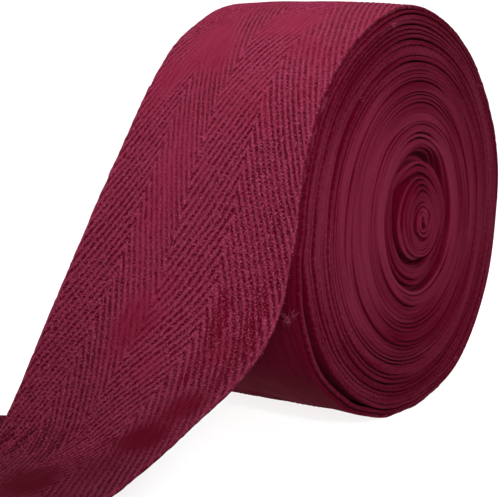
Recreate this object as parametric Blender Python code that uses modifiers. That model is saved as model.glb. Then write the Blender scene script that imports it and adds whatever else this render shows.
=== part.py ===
# A roll of herringbone twill tape standing on its rim. Its loose end comes over the top, runs
# down to the surface in front and is folded under itself there. Metres, +Z up.
# The roll's axis is X, its open winding faces +X, and the loose end leaves toward -Y.
# The origin is on the surface, in the middle of the flat spot that the roll stands on.
import math
from collections import namedtuple

import bmesh
import bpy
import numpy as np

COLLECTION_NAME = "roll_of_twill_tape"
MILLIMETRE = 0.001

# Driving sizes
TAPE_WIDTH = 0.050
TAPE_THICKNESS = 0.001
ROLL_RADIUS = 0.051
FLAT_SPOT_DEPTH = 0.0005
TOUCHING_GAP = 0.0003
CENTRE_HEIGHT = ROLL_RADIUS - FLAT_SPOT_DEPTH
PRESSED_FLAT_BELOW = 0.0002

# Winding
TURN_STEPS = 72
FACE_RINGS = 26
RIM_CHAMFER = 0.0008
SIDE_ROWS = 6
MAIN_TWIST_PITCH = 0.0073
MAIN_TWIST_DEPTH = 0.0009
MAIN_TWIST_SHARPNESS = 3
LOOSE_END_ANGLE = 50.0
LOOSE_END_STEP_ANGLE = 0.4
SHEET_BEGINS_ANGLE = 50.8
UNEVENNESS_FADE = 6
TOP_CROWN = 0.0008

# Angles run from the top toward the front, in degrees. The other columns say how far the outside
# stands from the roll's radius at the open face and at the far face, in millimetres. The first
# rows lie under the loose end, and the last one is the turn that the loose end continues.
OutlineRow = namedtuple("OutlineRow", "angle open_face far_face")
OUTLINE = (
    OutlineRow(50.2, -1.6, -1.1),
    OutlineRow(70.0, -2.2, -1.0),
    OutlineRow(87.0, -1.9, -1.0),
    OutlineRow(99.0, 0.4, -0.8),
    OutlineRow(112.0, 1.9, -0.6),
    OutlineRow(127.0, 2.6, -1.0),
    OutlineRow(147.0, 1.1, -2.8),
    OutlineRow(163.0, 0.0, -2.8),
    OutlineRow(172.0, 0.0, -0.2),
    OutlineRow(190.0, 0.0, 0.0),
    OutlineRow(215.0, 1.7, 0.9),
    OutlineRow(241.0, 1.1, 0.8),
    OutlineRow(262.0, 0.4, 0.6),
    OutlineRow(280.0, 1.4, 0.8),
    OutlineRow(310.0, 0.7, 0.8),
    OutlineRow(333.0, 0.4, 0.8),
    OutlineRow(358.0, 0.9, 0.8),
    OutlineRow(388.0, -0.4, 0.5),
    OutlineRow(410.0, -0.3, 0.2),
)

# How the turns lie from the core (share 0) to the rim (share 1): how far they stand out of the
# open face, how far they sit behind and below the roll's centre, in millimetres, and how oval
# they are, as the share by which they are taller and less deep than a circle.
TurnRow = namedtuple("TurnRow", "share proud back drop oval")
TURNS = (
    TurnRow(0.00, 2.5, 4.9, 2.1, 0.10),
    TurnRow(0.08, 2.5, 5.1, 2.0, 0.08),
    TurnRow(0.20, 2.1, 4.5, 1.2, 0.05),
    TurnRow(0.26, -0.5, 4.7, 0.3, 0.03),
    TurnRow(0.31, -0.4, 4.2, 0.5, 0.03),
    TurnRow(0.37, 1.5, 3.6, 0.6, 0.04),
    TurnRow(0.56, 1.2, 3.0, 0.9, 0.03),
    TurnRow(0.775, 0.8, 1.8, 0.8, 0.00),
    TurnRow(0.86, 0.5, 1.2, 0.4, 0.01),
    TurnRow(0.96, 0.3, 0.4, 0.1, 0.00),
    TurnRow(1.00, -0.6, 0.0, 0.0, 0.00),
)

# The loose end's two selvedges once they have left the roll: forward is -Y, height is above the
# surface, both in millimetres to the cloth's outer face.
EdgeRow = namedtuple("EdgeRow", "forward height")
FAR_SELVEDGE_LEAVES = 54.0
FAR_SELVEDGE = (
    EdgeRow(60.2, 56.3),
    EdgeRow(77.9, 32.3),
    EdgeRow(91.9, 13.0),
    EdgeRow(96.6, 7.4),
    EdgeRow(101.8, 4.7),
    EdgeRow(109.0, 4.0),
    EdgeRow(130.0, 4.0),
)
OPEN_SELVEDGE_LEAVES = 86.0
OPEN_SELVEDGE = (
    EdgeRow(53.0, 45.4),
    EdgeRow(57.6, 34.1),
    EdgeRow(62.5, 28.7),
    EdgeRow(72.8, 22.6),
    EdgeRow(88.0, 17.2),
    EdgeRow(106.4, 11.0),
    EdgeRow(125.0, 6.2),
    EdgeRow(142.0, 4.0),
    EdgeRow(155.0, 4.0),
)

# The fold where the loose end turns back under itself, and the cut end that shows beyond it
FOLD_FORWARD = 0.165
FOLD_TURN = math.radians(15.0)
FOLD_RADIUS = 0.002
RETURN_LENGTH = 0.122
FLAT_RUN_END = 0.320

# Sheet rows: lengths along the tape from the line where the sheet begins
SHEET_COLUMNS = 8
ROLL_ROW_SPACING = 0.0044
FREE_ROW_SPACING = 0.0062
LANDING_ROW_SPACING = 0.0045
LANDING_BEGINS = 0.088
FOLD_ZONE_BEGINS = 0.150
FOLD_ROWS = 7
RETURN_ROW_SPACING = 0.014

TapeFinish = namedtuple("TapeFinish", "name colour roughness")
WOUND_FINISH = TapeFinish("wine_red_selvedges", (0.130, 0.013, 0.032, 1.0), 0.95)
LOOSE_FINISH = TapeFinish("wine_red_twill", (0.168, 0.016, 0.042, 1.0), 0.90)


def clear_scene():
    for existing in list(bpy.data.objects):
        bpy.data.objects.remove(existing, do_unlink=True)


def new_collection(name):
    collection = bpy.data.collections.new(name)
    bpy.context.scene.collection.children.link(collection)
    return collection


def cloth_material(finish):
    material = bpy.data.materials.new(finish.name)
    material.use_nodes = True
    shader = material.node_tree.nodes["Principled BSDF"]
    shader.inputs["Base Color"].default_value = finish.colour
    shader.inputs["Roughness"].default_value = finish.roughness
    shader.inputs["Metallic"].default_value = 0.0
    return material


def read_rows(rows, column, position):
    """Value of a column at a position along the rows' first column, eased between the rows."""
    places = [row[0] for row in rows]
    values = [getattr(row, column) for row in rows]
    if position <= places[0]:
        return values[0]
    if position >= places[-1]:
        return values[-1]
    after = next(i for i, place in enumerate(places) if place >= position)
    before = after - 1
    share = (position - places[before]) / (places[after] - places[before])
    eased = share * share * (3.0 - 2.0 * share)
    return values[before] + (values[after] - values[before]) * eased


def outline_radius(angle, across):
    """Radius of the wound roll's outside at an angle from the top and a place across the width."""
    turned = angle if angle >= OUTLINE[0].angle else angle + 360.0
    open_share = across / TAPE_WIDTH + 0.5
    open_face = read_rows(OUTLINE, "open_face", turned)
    far_face = read_rows(OUTLINE, "far_face", turned)
    unevenness = far_face + (open_face - far_face) * open_share
    from_top = abs((angle + 180.0) % 360.0 - 180.0)
    crown_here = math.cos(2.0 * math.radians(min(from_top, 45.0)))
    crown = TOP_CROWN * crown_here * (1.0 - (2.0 * across / TAPE_WIDTH) ** 2)
    return ROLL_RADIUS + unevenness * MILLIMETRE + crown


def winding_profile():
    """Half section of the plain roll as (radius, height) from the open face's middle to the far one's."""
    half_width = TAPE_WIDTH / 2.0
    face_radius = ROLL_RADIUS - RIM_CHAMFER
    radii = [face_radius * i / FACE_RINGS for i in range(FACE_RINGS + 1)]
    side_reach = half_width - RIM_CHAMFER
    side = [side_reach * (1.0 - 2.0 * i / SIDE_ROWS) for i in range(SIDE_ROWS + 1)]
    profile = [(radius, half_width) for radius in radii]
    profile += [(ROLL_RADIUS, height) for height in side]
    profile += [(radius, -half_width) for radius in reversed(radii)]
    return profile


def turned_mesh(name, profile, steps):
    """Closed turned body about Z: the profile with a Screw modifier, made a mesh."""
    mesh = bpy.data.meshes.new(name + "_profile")
    points = [(radius, 0.0, height) for radius, height in profile]
    edges = [(i, i + 1) for i in range(len(points) - 1)]
    mesh.from_pydata(points, edges, [])
    profile_object = bpy.data.objects.new(name + "_profile", mesh)
    bpy.context.scene.collection.objects.link(profile_object)
    screw = profile_object.modifiers.new("turn", "SCREW")
    screw.axis = "Z"
    screw.angle = math.radians(360.0)
    screw.steps = steps
    screw.render_steps = steps
    screw.use_merge_vertices = True
    screw.merge_threshold = 0.00005
    bpy.context.view_layer.update()
    evaluated = profile_object.evaluated_get(bpy.context.evaluated_depsgraph_get())
    turned = bpy.data.meshes.new_from_object(evaluated)
    turned.name = name
    bpy.data.objects.remove(profile_object, do_unlink=True)
    return turned


def winding_angle(turn_angle, share):
    """Angle from the top for a turned row, at a share of the radius. At the rim the first two rows
    close up to make the step under the loose end."""
    even_spacing = 360.0 / TURN_STEPS
    row = round(turn_angle / even_spacing) % TURN_STEPS
    if row == 0:
        return LOOSE_END_ANGLE + 360.0
    stepped_spacing = (360.0 - LOOSE_END_STEP_ANGLE) / (TURN_STEPS - 1)
    stepped = LOOSE_END_STEP_ANGLE + (row - 1) * stepped_spacing
    even = row * even_spacing
    return LOOSE_END_ANGLE + even + (stepped - even) * share ** UNEVENNESS_FADE


def main_twist(radius, angle):
    """Depth of the spiral furrow between the main twists."""
    phase = radius / MAIN_TWIST_PITCH - angle / 360.0
    furrow = (0.5 + 0.5 * math.cos(2.0 * math.pi * phase)) ** MAIN_TWIST_SHARPNESS
    core_fade = min(1.0, radius / MAIN_TWIST_PITCH)
    return MAIN_TWIST_DEPTH * furrow * core_fade


def wound_place(point):
    """Where a point of the plain turned roll lies in the uneven winding."""
    radius = math.hypot(point.x, point.y)
    share = radius / ROLL_RADIUS
    angle = winding_angle(math.degrees(math.atan2(point.y, point.x)) % 360.0, share)
    unevenness = outline_radius(angle, point.z) - ROLL_RADIUS
    radius += unevenness * share ** UNEVENNESS_FADE
    oval = read_rows(TURNS, "oval", share)
    back = read_rows(TURNS, "back", share) * MILLIMETRE
    drop = read_rows(TURNS, "drop", share) * MILLIMETRE
    across = point.z + read_rows(TURNS, "proud", share) * MILLIMETRE
    if share < 1.0:
        across -= math.copysign(main_twist(radius, angle), point.z)
    turned = math.radians(angle)
    depth = back - radius * (1.0 - oval) * math.sin(turned)
    height = CENTRE_HEIGHT - drop + radius * (1.0 + oval) * math.cos(turned)
    if height < PRESSED_FLAT_BELOW:
        height = 0.0
    return across, depth, height


def build_wound_roll(collection):
    mesh = turned_mesh("wound_roll", winding_profile(), TURN_STEPS)
    for vertex in mesh.vertices:
        vertex.co = wound_place(vertex.co)
    mesh.update()
    mesh.shade_smooth()
    mesh.set_sharp_from_angle(angle=math.radians(50.0))
    mesh.materials.append(cloth_material(WOUND_FINISH))
    wound_roll = bpy.data.objects.new("wound_roll", mesh)
    collection.objects.link(wound_roll)


def smooth_line(points, steps=12):
    """Points along a smooth curve through the given ones, which leaves each along its neighbours."""
    points = np.array(points)
    chords = np.diff(points, axis=0)
    spans = np.linalg.norm(chords, axis=1)[:, None]
    slopes = chords / spans
    inner = (slopes[:-1] * spans[1:] + slopes[1:] * spans[:-1]) / (spans[:-1] + spans[1:])
    slopes = np.concatenate((slopes[:1], inner, slopes[-1:]))
    line = []
    for i, span in enumerate(spans):
        for t in np.arange(steps) / steps:
            rise = t * t * (3.0 - 2.0 * t)
            leaving = slopes[i] * t * (1.0 - t) ** 2
            arriving = slopes[i + 1] * t * t * (1.0 - t)
            line.append(points[i] + chords[i] * rise + (leaving - arriving) * span)
    line.append(points[-1])
    return line


def selvedge_line(across, leaves, free_rows):
    """One selvedge of the loose end as dense (y, z) points, and the length up to each of them."""
    on_roll = []
    for angle in np.arange(SHEET_BEGINS_ANGLE, leaves + 0.5, 1.0):
        radius = outline_radius(angle, across) + TOUCHING_GAP + TAPE_THICKNESS
        turned = math.radians(angle)
        on_roll.append(np.array((-radius * math.sin(turned), CENTRE_HEIGHT + radius * math.cos(turned))))
    free = [np.array((-row.forward, row.height)) * MILLIMETRE for row in free_rows]
    line = on_roll[:-3] + smooth_line([on_roll[-3], on_roll[-1], *free])
    line.append(np.array((-FLAT_RUN_END, line[-1][1])))
    line = np.array(line)
    lengths = np.concatenate(([0.0], np.cumsum(np.linalg.norm(np.diff(line, axis=0), axis=1))))
    return line, lengths


def fold_under(point):
    """The flat run's point, turned back under itself where it lies past the fold line."""
    x, y, z = point
    outward = np.array((math.sin(FOLD_TURN), -math.cos(FOLD_TURN)))
    past = float(np.dot(np.array((x, y + FOLD_FORWARD)), outward))
    if past <= 0.0:
        return point
    half_turn = math.pi * FOLD_RADIUS
    if past < half_turn:
        reach = FOLD_RADIUS * math.sin(past / FOLD_RADIUS)
        sink = FOLD_RADIUS * (1.0 - math.cos(past / FOLD_RADIUS))
    else:
        reach = half_turn - past
        sink = 2.0 * FOLD_RADIUS
    moved = outward * (reach - past)
    return x + moved[0], y + moved[1], z - sink


def sheet_rows():
    """Lengths of the sheet's rows, and how far each is slanted along the fold line (0 to 1)."""
    fold_begins = FOLD_FORWARD + 0.0005
    cut_end = fold_begins + RETURN_LENGTH
    roll_ends = (OPEN_SELVEDGE_LEAVES - LOOSE_END_ANGLE) * math.radians(ROLL_RADIUS)
    rows = list(np.arange(0.0, roll_ends, ROLL_ROW_SPACING))
    rows += list(np.arange(roll_ends, LANDING_BEGINS, FREE_ROW_SPACING))
    rows += list(np.arange(LANDING_BEGINS, FOLD_ZONE_BEGINS, LANDING_ROW_SPACING))
    rows += [FOLD_ZONE_BEGINS + 0.007]
    half_turn = math.pi * FOLD_RADIUS / math.cos(FOLD_TURN)
    rows += [fold_begins + half_turn * i / (FOLD_ROWS - 1) for i in range(FOLD_ROWS)]
    rows += list(np.arange(rows[-1] + RETURN_ROW_SPACING, cut_end, RETURN_ROW_SPACING))
    rows += [cut_end]
    slants = [np.interp(row, (0.110, FOLD_ZONE_BEGINS, cut_end - 0.040, cut_end), (0, 1, 1, 0)) for row in rows]
    return list(zip(rows, slants))


def sheet_place(length, across, far_line, open_line):
    """A point of the loose end's outer face at a length along the tape and a place across it."""
    share = across / TAPE_WIDTH + 0.5
    far_y, far_z = (np.interp(length, far_line[1], far_line[0][:, i]) for i in range(2))
    open_y, open_z = (np.interp(length, open_line[1], open_line[0][:, i]) for i in range(2))
    flat = (across, far_y + (open_y - far_y) * share, far_z + (open_z - far_z) * share)
    return fold_under(flat)


def build_loose_end(collection):
    half_width = TAPE_WIDTH / 2.0
    far_line = selvedge_line(-half_width, FAR_SELVEDGE_LEAVES, FAR_SELVEDGE)
    open_line = selvedge_line(half_width, OPEN_SELVEDGE_LEAVES, OPEN_SELVEDGE)
    rows = sheet_rows()
    sheet = bmesh.new()
    bmesh.ops.create_grid(sheet, x_segments=len(rows) - 1, y_segments=SHEET_COLUMNS, size=0.5)
    for vertex in sheet.verts:
        length, slant = rows[round((vertex.co.x + 0.5) * (len(rows) - 1))]
        across = vertex.co.y * TAPE_WIDTH
        slanted = length - across * math.tan(FOLD_TURN) * slant
        vertex.co = sheet_place(slanted, across, far_line, open_line)
    mesh = bpy.data.meshes.new("loose_end")
    sheet.to_mesh(mesh)
    sheet.free()
    mesh.shade_smooth()
    mesh.materials.append(cloth_material(LOOSE_FINISH))
    loose_end = bpy.data.objects.new("loose_end", mesh)
    collection.objects.link(loose_end)
    thickness = loose_end.modifiers.new("tape thickness", "SOLIDIFY")
    thickness.thickness = TAPE_THICKNESS
    thickness.offset = -1.0
    thickness.use_even_offset = True


def main():
    clear_scene()
    collection = new_collection(COLLECTION_NAME)
    build_wound_roll(collection)
    build_loose_end(collection)


main()
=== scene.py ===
import math
from collections import namedtuple

import bmesh
import bpy
import numpy as np
from bpy.props import FloatProperty, FloatVectorProperty, PointerProperty
from bpy.types import Operator, Panel, PropertyGroup
from mathutils import Euler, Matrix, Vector


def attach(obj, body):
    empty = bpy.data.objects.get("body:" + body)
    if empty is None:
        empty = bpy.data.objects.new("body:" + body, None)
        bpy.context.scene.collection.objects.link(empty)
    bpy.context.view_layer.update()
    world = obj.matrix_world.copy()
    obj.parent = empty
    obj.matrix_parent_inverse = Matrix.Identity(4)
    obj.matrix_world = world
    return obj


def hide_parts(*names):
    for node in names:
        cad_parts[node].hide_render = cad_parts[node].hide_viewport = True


bl_info = {
    "name": "Roll of twill tape",
    "version": (1, 0, 0),
    "blender": (4, 5, 0),
    "location": "View3D > Sidebar > Tape",
    "description": "Dresses a roll of herringbone twill tape and its loose end",
    "category": "Object",
}

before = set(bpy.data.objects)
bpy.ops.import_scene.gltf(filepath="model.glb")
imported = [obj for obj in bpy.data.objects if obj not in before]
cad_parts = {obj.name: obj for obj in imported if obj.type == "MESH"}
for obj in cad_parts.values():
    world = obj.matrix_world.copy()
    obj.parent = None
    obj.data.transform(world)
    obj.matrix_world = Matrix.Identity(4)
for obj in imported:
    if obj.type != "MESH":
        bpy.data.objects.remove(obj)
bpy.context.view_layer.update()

MILLIMETRE = 0.001

# Driving sizes, the same as the solids'
TAPE_WIDTH = 0.050
TAPE_THICKNESS = 0.001
ROLL_RADIUS = 0.051
FLAT_SPOT_DEPTH = 0.0005
TOUCHING_GAP = 0.0003
CENTRE_HEIGHT = ROLL_RADIUS - FLAT_SPOT_DEPTH
TOP_CROWN = 0.0008
OUTER_TURN_BEGINS = 50.4
SHEET_BEGINS_ANGLE = 50.8
UNEVENNESS_FADE = 6

# Angles run from the top toward the front, in degrees. The other columns say how far the outside
# stands from the roll's radius at the open face and at the far face, in millimetres.
OutlineRow = namedtuple("OutlineRow", "angle open_face far_face")
OUTLINE = (
    OutlineRow(50.2, -1.6, -1.1),
    OutlineRow(70.0, -2.2, -1.0),
    OutlineRow(87.0, -1.9, -1.0),
    OutlineRow(99.0, 0.4, -0.8),
    OutlineRow(112.0, 1.9, -0.6),
    OutlineRow(127.0, 2.6, -1.0),
    OutlineRow(147.0, 1.1, -2.8),
    OutlineRow(163.0, 0.0, -2.8),
    OutlineRow(172.0, 0.0, -0.2),
    OutlineRow(190.0, 0.0, 0.0),
    OutlineRow(215.0, 1.7, 0.9),
    OutlineRow(241.0, 1.1, 0.8),
    OutlineRow(262.0, 0.4, 0.6),
    OutlineRow(280.0, 1.4, 0.8),
    OutlineRow(310.0, 0.7, 0.8),
    OutlineRow(333.0, 0.4, 0.8),
    OutlineRow(358.0, 0.9, 0.8),
    OutlineRow(388.0, -0.4, 0.1),
    OutlineRow(410.0, -0.3, -0.2),
)

# How far the two outermost turns hang away from the turns inside them at the open face, as a
# share of SAG_DEPTH, by angle from the top toward the front.
SagRow = namedtuple("SagRow", "angle sag")
SAG_DEPTH = 0.0024
SAG = (
    SagRow(92.0, 0.0),
    SagRow(112.0, 0.8),
    SagRow(127.0, 1.0),
    SagRow(147.0, 0.55),
    SagRow(166.0, 0.0),
)

# The outermost turn's shift along the roll's axis, in millimetres, by angle from the top.
ShiftRow = namedtuple("ShiftRow", "angle shift")
OUTER_TURN_SHIFT = (
    ShiftRow(50.0, 0.3),
    ShiftRow(80.0, -0.2),
    ShiftRow(110.0, -0.7),
    ShiftRow(200.0, -0.6),
    ShiftRow(300.0, -0.3),
    ShiftRow(400.0, 0.0),
)

# How the turns lie from the core (share 0) to the rim (share 1): how far they sit behind and
# below the roll's centre, in millimetres, and by what share they are taller than a circle.
LieRow = namedtuple("LieRow", "share back drop oval")
TURNS_LIE = (
    LieRow(0.00, 4.9, 2.1, 0.10),
    LieRow(0.09, 5.1, 2.0, 0.08),
    LieRow(0.215, 4.5, 1.2, 0.052),
    LieRow(0.284, 4.7, 0.3, 0.028),
    LieRow(0.39, 3.6, 0.6, 0.039),
    LieRow(0.57, 3.0, 0.9, 0.03),
    LieRow(0.775, 1.8, 0.8, 0.00),
    LieRow(0.86, 1.2, 0.4, 0.01),
    LieRow(0.96, 0.4, 0.1, 0.00),
    LieRow(1.00, 0.0, 0.0, 0.00),
)

# How far the turns stand out of the open face, in millimetres, by their radius in millimetres,
# on the side toward the front, at the top, toward the back and at the bottom.
FaceRow = namedtuple("FaceRow", "radius front top back bottom")
OPEN_FACE = (
    FaceRow(0.0, 2.4, 2.4, 2.4, 2.4),
    FaceRow(4.2, 2.5, 2.4, 2.4, 2.4),
    FaceRow(5.2, 0.4, 2.0, 2.3, 1.0),
    FaceRow(6.2, 2.1, 2.1, 2.2, 2.1),
    FaceRow(9.0, 1.4, 2.1, 2.1, 2.1),
    FaceRow(10.2, 0.9, 1.3, 2.0, 1.8),
    FaceRow(10.9, -2.2, -0.8, 1.9, -2.2),
    FaceRow(11.8, -3.2, 0.9, 1.8, -2.2),
    FaceRow(13.0, -3.0, 0.8, 1.6, 0.4),
    FaceRow(13.7, -0.4, 0.5, 1.2, 0.8),
    FaceRow(14.5, 0.9, -2.2, -1.8, 0.9),
    FaceRow(15.4, 0.9, -2.4, -3.4, 0.9),
    FaceRow(16.4, 0.9, 0.2, -3.6, 0.9),
    FaceRow(17.4, 0.9, 1.3, -2.8, 0.6),
    FaceRow(18.4, 0.9, 1.5, -0.2, -0.8),
    FaceRow(19.3, 1.6, 1.5, 1.5, 1.6),
    FaceRow(29.0, 1.2, 1.2, 1.2, 1.2),
    FaceRow(39.5, 0.8, 0.8, 0.8, 0.8),
    FaceRow(43.9, 0.5, 0.5, 0.5, 0.5),
    FaceRow(49.0, 0.3, 0.3, 0.3, 0.3),
)

# How open the grooves between the turns are at the faces, from 0 for pressed shut to 1, by the
# turns' radius in millimetres and by side.
OPENNESS = (
    FaceRow(0.0, 0.3, 0.3, 0.3, 0.3),
    FaceRow(4.5, 0.7, 0.4, 0.1, 0.5),
    FaceRow(6.5, 0.3, 0.4, 0.3, 0.2),
    FaceRow(9.6, 0.5, 0.4, 0.1, 0.3),
    FaceRow(11.5, 0.8, 0.1, 0.0, 0.5),
    FaceRow(13.7, 0.2, 0.3, 0.5, 0.0),
    FaceRow(15.5, 0.0, 0.7, 0.8, 0.0),
    FaceRow(17.5, 0.0, 0.3, 0.5, 0.3),
    FaceRow(20.0, 0.05, 0.2, 0.2, 0.4),
    FaceRow(28.0, -0.05, 0.05, 0.35, 0.5),
    FaceRow(34.0, 0.55, 0.5, 0.35, 0.55),
    FaceRow(50.0, 0.9, 0.75, 0.5, 0.65),
)

# Painted shade and painted light on the turns at the open face, darker in recesses and on the sides away
# from the light, from -1 for a painted light line to 1 for full painted shade, in the same columns. A
# turn's corners get painted shade with its groove, and so do its flat sides the inset below in from the
# face.
PAINTED_FACE_SHADING = (
    FaceRow(0.0, -0.15, -0.10, -0.15, -0.15),
    FaceRow(4.2, -0.10, 0.00, -0.15, -0.05),
    FaceRow(5.0, 0.90, 0.30, 0.10, 0.80),
    FaceRow(6.0, 0.15, 0.35, 0.15, 0.20),
    FaceRow(9.6, 0.25, 0.60, 0.20, 0.20),
    FaceRow(10.3, -0.50, -0.10, 0.10, -0.40),
    FaceRow(10.9, 1.10, 0.80, 0.25, 1.10),
    FaceRow(13.2, 1.10, 0.60, 0.30, 0.60),
    FaceRow(13.9, 0.30, 0.20, 0.30, 0.45),
    FaceRow(14.6, 0.65, 1.10, 1.10, 0.65),
    FaceRow(17.4, 0.65, 0.50, 1.30, 0.70),
    FaceRow(18.3, 0.60, 0.15, 1.10, 1.10),
    FaceRow(19.2, -0.75, -0.50, -0.30, -0.50),
    FaceRow(20.3, -0.30, 0.15, 0.15, 0.35),
    FaceRow(29.0, -0.40, 0.30, 0.20, 0.70),
    FaceRow(39.5, -0.15, 0.45, 0.25, 0.75),
    FaceRow(50.0, 0.05, 0.50, 0.20, 0.75),
)
PAINTED_SHADE_INSET = 0.0007
CORNER_PAINTED_SHADE = 1.4
DEEPEST_PAINTED_SHADE = 1.2

# A selvedge's rounding where its groove is shut and where it is open, and the widest groove as a
# share of the distance between two turns
SHUT_EDGE_ROUND = 0.00003
OPEN_EDGE_ROUND = 0.00045
WIDEST_GAP = 0.30

# The turns' slow waves round the roll: how many there are in a turn, their height in millimetres,
# where they begin and how far they twist from the core to the rim, in radians
WaveRow = namedtuple("WaveRow", "waves size phase twist")
TURN_WAVES = (
    WaveRow(3, 0.10, 0.4, 5.0),
    WaveRow(5, 0.08, 2.1, -7.0),
    WaveRow(8, 0.05, 4.4, 9.0),
)

# How unevenly the turns are spread between the core and the rim
SPREAD_SIZE = 0.00036
SPREAD_TURNS = 1.7
SPREAD_PARTS = 7

# The loose end's two selvedges once they have left the roll: forward is -Y, height is above the
# surface, both in millimetres to the cloth's outer face.
EdgeRow = namedtuple("EdgeRow", "forward height")
FAR_SELVEDGE_LEAVES = 54.0
FAR_SELVEDGE = (
    EdgeRow(60.2, 56.3),
    EdgeRow(77.9, 32.3),
    EdgeRow(91.9, 13.0),
    EdgeRow(96.6, 7.4),
    EdgeRow(101.8, 4.7),
    EdgeRow(109.0, 4.0),
    EdgeRow(130.0, 4.0),
)
OPEN_SELVEDGE_LEAVES = 86.0
OPEN_SELVEDGE = (
    EdgeRow(53.0, 45.4),
    EdgeRow(57.6, 34.1),
    EdgeRow(62.5, 28.7),
    EdgeRow(72.8, 22.6),
    EdgeRow(88.0, 17.2),
    EdgeRow(106.4, 11.0),
    EdgeRow(125.0, 6.2),
    EdgeRow(142.0, 4.0),
    EdgeRow(155.0, 4.0),
)

# The loose end is folded back under itself along a line a little askew to its width
FOLD_FORWARD = 0.165
FOLD_TURN = math.radians(15.0)
FOLD_RADIUS = 0.002
FOLD_SLACK = 0.0005
RETURN_LENGTH = 0.122
FLAT_RUN_END = 0.320

# Lengths along the outer tape, from where its turn begins under the loose end
OUTER_TURN_LENGTH = ROLL_RADIUS * math.radians(360.0 + SHEET_BEGINS_ANGLE - OUTER_TURN_BEGINS)
FOLD_LENGTH = OUTER_TURN_LENGTH + FOLD_FORWARD
OUTER_TAPE_LENGTH = FOLD_LENGTH + FOLD_SLACK + RETURN_LENGTH

# The herringbone, seen from the outside: the lines where the ribs turn, across the width from the
# far selvedge, and how far a rib runs along the tape for each step across it.
ChevronRow = namedtuple("ChevronRow", "across climb")
CHEVRONS = (
    ChevronRow(0.0111, -2.75),
    ChevronRow(0.0218, 3.08),
    ChevronRow(0.0343, -2.50),
    ChevronRow(TAPE_WIDTH, 2.63),
)

# Where handling has pressed the ribs flat on the outer tape: middle of the patch along and across
# the tape and its half length and half width, in millimetres, and how strongly it shows there.
PatchRow = namedtuple("PatchRow", "length across long wide strength")
PRESSED = (
    PatchRow(60.0, 0.0, 64.0, 60.0, 1.0),
    PatchRow(180.0, 0.0, 115.0, 60.0, 0.7),
    PatchRow(306.0, -13.0, 10.0, 10.0, 1.0),
    PatchRow(295.0, 5.0, 8.0, 9.0, 1.0),
    PatchRow(305.0, 13.0, 6.0, 5.0, 0.7),
    PatchRow(317.0, -20.0, 8.0, 5.0, 0.9),
    PatchRow(345.0, -9.0, 26.0, 5.0, 0.6),
    PatchRow(382.0, -6.0, 12.0, 4.8, 0.85),
    PatchRow(385.0, 16.0, 5.0, 3.5, 0.6),
    PatchRow(394.0, 3.5, 5.0, 3.5, 0.6),
    PatchRow(404.0, 19.0, 6.0, 4.5, 0.95),
    PatchRow(417.5, 16.0, 6.5, 5.5, 1.0),
    PatchRow(429.0, 13.0, 6.0, 6.0, 0.6),
    PatchRow(437.0, 3.0, 7.0, 7.5, 1.0),
    PatchRow(445.0, 1.0, 7.0, 8.0, 0.9),
    PatchRow(438.0, 15.0, 9.0, 5.0, 0.6),
)

# Where the tape is painted darker, in the same columns: painted shade on the outer turn under and behind
# the loose end and by the loose end's open selvedge where it curves under, and darker patches on the
# lower loose end
PAINTED_SHADE_AND_DARK_PATCHES = (
    PatchRow(60.0, 0.0, 64.0, 60.0, 1.0),
    PatchRow(180.0, 0.0, 60.0, 60.0, 0.6),
    PatchRow(374.0, 21.0, 12.0, 7.0, 0.35),
    PatchRow(388.0, 20.0, 13.0, 7.0, 0.6),
    PatchRow(382.0, -6.0, 10.0, 4.5, 0.35),
    PatchRow(385.0, 16.0, 5.0, 3.5, 0.5),
    PatchRow(404.0, 19.5, 7.0, 5.0, 1.0),
    PatchRow(417.5, 16.0, 7.5, 6.0, 1.1),
    PatchRow(429.0, 13.0, 8.0, 8.0, 0.6),
    PatchRow(437.0, 3.0, 8.0, 8.0, 1.1),
    PatchRow(450.0, 0.0, 14.0, 20.0, 0.7),
)

# Where the floats have come loose into separate beads, in the same columns
BEADED = (
    PatchRow(358.0, 16.0, 38.0, 7.5, 1.0),
    PatchRow(392.0, -19.0, 36.0, 8.0, 1.0),
    PatchRow(412.0, -6.0, 24.0, 13.0, 0.9),
    PatchRow(388.0, 9.0, 16.0, 12.0, 0.6),
    PatchRow(425.0, -15.0, 40.0, 14.0, 1.0),
    PatchRow(470.0, 0.0, 40.0, 40.0, 0.6),
)

# The outer tape's mesh: rows for each rib, the selvedges' woven strands and their fraying, the
# slow hollows of the cloth, and where the rows that follow the ribs turn square to the tape. The
# spacing of the weft picks and the far end of the twill on each side are in millimetres.
RIB_ROWS = 6
RIB_COLUMN_SPACING = 0.0012
SELVEDGE_ZONE = 0.0010
SELVEDGE_STRAND = 0.0005
SELVEDGE_COLUMNS = 8
TAPE_EDGE_ROUND = 0.0003
TAPE_EDGE_STEPS = 3
EDGE_FULLNESS = 0.6
EDGE_FRAY = 0.00016
EDGE_FRAY_BEGINS = 0.0236
# Where the painted shade of the open rim begins, and how strongly the inner face is painted in shade
OPEN_RIM = 0.0244
INNER_FACE_PAINTED_SHADE = 1.3
HOLLOWS = 0.00014
PICK_SPACING = 1.025
TWILL_ENDS = (24.2, 24.8)
SHEAR_ENDS = (FOLD_LENGTH - 0.060, FOLD_LENGTH - 0.012)

# The wound turns' mesh: the step along a turn and the fewest and most steps in one, the space
# left between pressed turns, and how many of the outer turns lie flat under the roll
WOUND_STEP = 0.0022
FEWEST_STEPS = 28
MOST_STEPS = 140
BETWEEN_TURNS = 0.00002
WOUND_EDGE_STEPS = 4
FAR_EDGE_STEPS = 2
CORE_END_RADIUS = 0.0019
FLATTENED_TURNS = 4.0

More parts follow.
